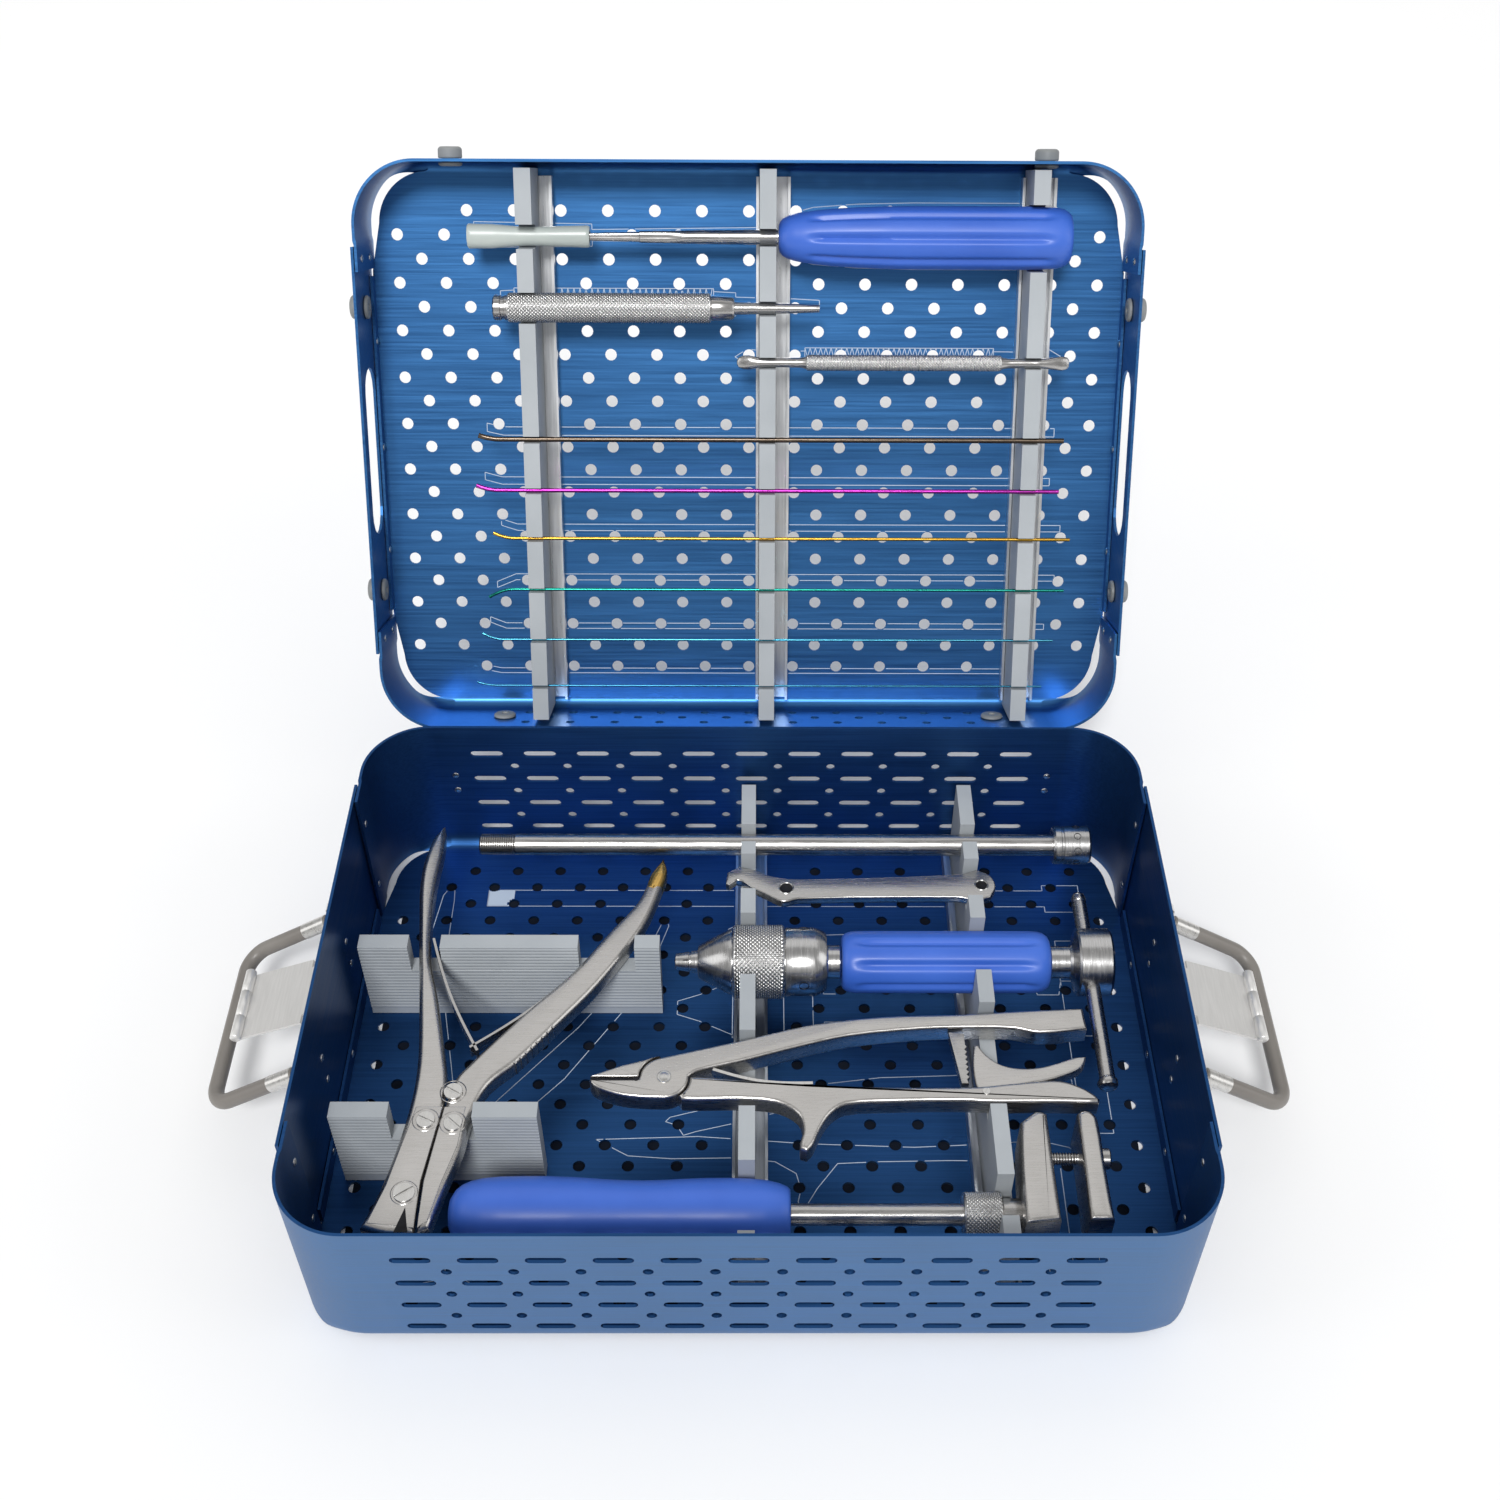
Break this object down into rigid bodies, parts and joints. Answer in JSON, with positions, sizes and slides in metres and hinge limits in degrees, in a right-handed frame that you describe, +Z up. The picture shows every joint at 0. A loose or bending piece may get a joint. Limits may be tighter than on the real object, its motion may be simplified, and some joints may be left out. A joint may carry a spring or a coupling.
{
  "type": "surgical instrument tray",
  "caption": "Perforated blue sterilisation tray with a hinged lid, drop bails and latches, holding orthopaedic nails and hand instruments in silicone combs.",
  "frame": {"origin": "centre of the base's underside, on the surface it stands on", "axes": "+X to the right along the long side, +Y from the open front to the hinge, +Z up"},
  "size_m": [0.549, 0.5329, 0.344],
  "materials": {
    "base_shell": "brushed and anodised dark blue",
    "lid_shell": "brushed and anodised blue",
    "bumper": "matt grey",
    "base_rail": "satin",
    "lid_rail": "bright brushed",
    "steel_fittings": "satin",
    "bail_coating": "semi-gloss dipped coating",
    "silicone_block": "ribbed, matt",
    "silicone_comb": "matt",
    "blue_grip": "moulded, satin",
    "tip_guard": "frosted, translucent",
    "nail_30": "gunmetal anodised",
    "nail_25": "magenta anodised",
    "nail_20": "gold anodised",
    "nail_18": "green anodised",
    "nail_15": "light teal anodised",
    "nail_12": "dark teal anodised",
    "lid_tool_steel": "satin",
    "tool_steel": "satin"
  },
  "bodies": {
    "base": {"base_pan": "base_shell", "base_side_left": "base_shell", "base_side_right": "base_shell", "base_rail_mid": "base_rail", "base_rail_right": "base_rail", "base_comb_mid": "silicone_comb", "base_comb_right": "silicone_comb", "base_comb_left_back": "silicone_block", "base_comb_left_front": "silicone_block", "hinge_leaf_left": "steel_fittings", "hinge_leaf_right": "steel_fittings", "handle_plate_left": "steel_fittings", "handle_plate_right": "steel_fittings"},
    "lid": {"lid_pan": "lid_shell", "lid_side_left": "lid_shell", "lid_side_right": "lid_shell", "lid_rail_left": "lid_rail", "lid_rail_mid": "lid_rail", "lid_rail_right": "lid_rail", "lid_comb_left": "silicone_comb", "lid_comb_mid": "silicone_comb", "lid_comb_right": "silicone_comb", "lid_strap_left": "steel_fittings", "lid_strap_right": "steel_fittings", "bumper_front_left": "bumper", "bumper_front_right": "bumper", "bumper_back_left": "bumper", "bumper_back_right": "bumper", "bumper_left_front": "bumper", "bumper_left_back": "bumper", "bumper_right_front": "bumper", "bumper_right_back": "bumper"},
    "bail_l": {"bail_left": "bail_coating"},
    "bail_r": {"bail_right": "bail_coating"},
    "latch_l": {"latch_left": "steel_fittings"},
    "latch_r": {"latch_right": "steel_fittings"},
    "awl": {"awl_tip_guard": "tip_guard", "awl_shaft": "lid_tool_steel", "awl_handle": "blue_grip"},
    "punch": {"nail_punch": "lid_tool_steel"},
    "elevator_tool": {"elevator": "lid_tool_steel"},
    "inserter": {"inserter_body": "tool_steel", "inserter_grip": "blue_grip"},
    "chuck": {"chuck_sleeve": "tool_steel"},
    "tommy_bar": {"t_bar": "tool_steel"},
    "rod": {"guide_rod": "tool_steel"},
    "spanner": {"hook_spanner": "tool_steel"},
    "pliers": {"pliers_arm_upper": "tool_steel"},
    "pliers_lower": {"pliers_arm_lower": "tool_steel"},
    "pliers_release": {"pliers_lever": "tool_steel"},
    "cutter": {"cutter_left": "tool_steel"},
    "cutter_r": {"cutter_right": "tool_steel"},
    "clamp": {"clamp_grip": "blue_grip", "clamp_head": "tool_steel"},
    "pin_30": {"nail_30": "nail_30"},
    "pin_25": {"nail_25": "nail_25"},
    "pin_20": {"nail_20": "nail_20"},
    "pin_18": {"nail_18": "nail_18"},
    "pin_15": {"nail_15": "nail_15"},
    "pin_12": {"nail_12": "nail_12"}
  },
  "joints": [
    {"name": "lid_hinge", "type": "hinge", "parent": "base", "child": "lid", "pos_m": [0, 0.16375, 0.07003], "axis": [1, 0, 0], "range_deg": [0, 117.4]},
    {"name": "bail_left_pivot", "type": "hinge", "parent": "base", "child": "bail_l", "pos_m": [-0.221, 0, 0.06], "axis": [0, 1, 0], "range_deg": [0, 115]},
    {"name": "bail_right_pivot", "type": "hinge", "parent": "base", "child": "bail_r", "pos_m": [0.221, 0, 0.06], "axis": [0, -1, 0], "range_deg": [0, 115]},
    {"name": "latch_left_pivot", "type": "hinge", "parent": "base", "child": "latch_l", "pos_m": [-0.2196, 0, 0.064], "axis": [0, 1, 0], "range_deg": [0, 100]},
    {"name": "latch_right_pivot", "type": "hinge", "parent": "base", "child": "latch_r", "pos_m": [0.2196, 0, 0.064], "axis": [0, -1, 0], "range_deg": [0, 100]},
    {"name": "awl_lift", "type": "slide", "parent": "lid", "child": "awl", "axis": [0, 0.8878, -0.4602], "range_m": [-0.04, 0]},
    {"name": "punch_lift", "type": "slide", "parent": "lid", "child": "punch", "axis": [0, 0.8878, -0.4602], "range_m": [-0.04, 0]},
    {"name": "elevator_tool_lift", "type": "slide", "parent": "lid", "child": "elevator_tool", "axis": [0, 0.8878, -0.4602], "range_m": [-0.04, 0]},
    {"name": "pin_30_lift", "type": "slide", "parent": "lid", "child": "pin_30", "axis": [0, 0.8878, -0.4602], "range_m": [-0.04, 0]},
    {"name": "pin_25_lift", "type": "slide", "parent": "lid", "child": "pin_25", "axis": [0, 0.8878, -0.4602], "range_m": [-0.04, 0]},
    {"name": "pin_20_lift", "type": "slide", "parent": "lid", "child": "pin_20", "axis": [0, 0.8878, -0.4602], "range_m": [-0.04, 0]},
    {"name": "pin_18_lift", "type": "slide", "parent": "lid", "child": "pin_18", "axis": [0, 0.8878, -0.4602], "range_m": [-0.04, 0]},
    {"name": "pin_15_lift", "type": "slide", "parent": "lid", "child": "pin_15", "axis": [0, 0.8878, -0.4602], "range_m": [-0.04, 0]},
    {"name": "pin_12_lift", "type": "slide", "parent": "lid", "child": "pin_12", "axis": [0, 0.8878, -0.4602], "range_m": [-0.04, 0]},
    {"name": "rod_lift", "type": "slide", "parent": "base", "child": "rod", "axis": [0, 0, -1], "range_m": [-0.06, 0]},
    {"name": "spanner_lift", "type": "slide", "parent": "base", "child": "spanner", "axis": [0, 0, -1], "range_m": [-0.06, 0]},
    {"name": "inserter_lift", "type": "slide", "parent": "base", "child": "inserter", "axis": [0, 0, -1], "range_m": [-0.06, 0]},
    {"name": "pliers_lift", "type": "slide", "parent": "base", "child": "pliers", "axis": [0, 0, -1], "range_m": [-0.06, 0]},
    {"name": "cutter_lift", "type": "slide", "parent": "base", "child": "cutter", "axis": [0, 0, -1], "range_m": [-0.06, 0]},
    {"name": "clamp_lift", "type": "slide", "parent": "base", "child": "clamp", "axis": [0, 0, -1], "range_m": [-0.06, 0]},
    {"name": "chuck_spin", "type": "hinge", "parent": "inserter", "child": "chuck", "pos_m": [0.004, 0.0348, 0.042], "axis": [1, 0, 0], "continuous": true},
    {"name": "tommy_bar_slide", "type": "slide", "parent": "inserter", "child": "tommy_bar", "axis": [0, 1, 0], "range_m": [-0.025, 0.018]},
    {"name": "pliers_jaw", "type": "hinge", "parent": "pliers", "child": "pliers_lower", "pos_m": [-0.0425, -0.048, 0.05], "axis": [0, 0, 1], "range_deg": [-0.7, 0.7]},
    {"name": "pliers_release_pivot", "type": "hinge", "parent": "pliers_lower", "child": "pliers_release", "pos_m": [0.1161, -0.0539, 0.05], "axis": [0, 0, 1], "range_deg": [0, 5]},
    {"name": "cutter_pivot", "type": "hinge", "parent": "cutter", "child": "cutter_r", "pos_m": [-0.154, -0.07, 0.045], "axis": [0, 0, -1], "range_deg": [-0.7, 0.7]}
  ]
}
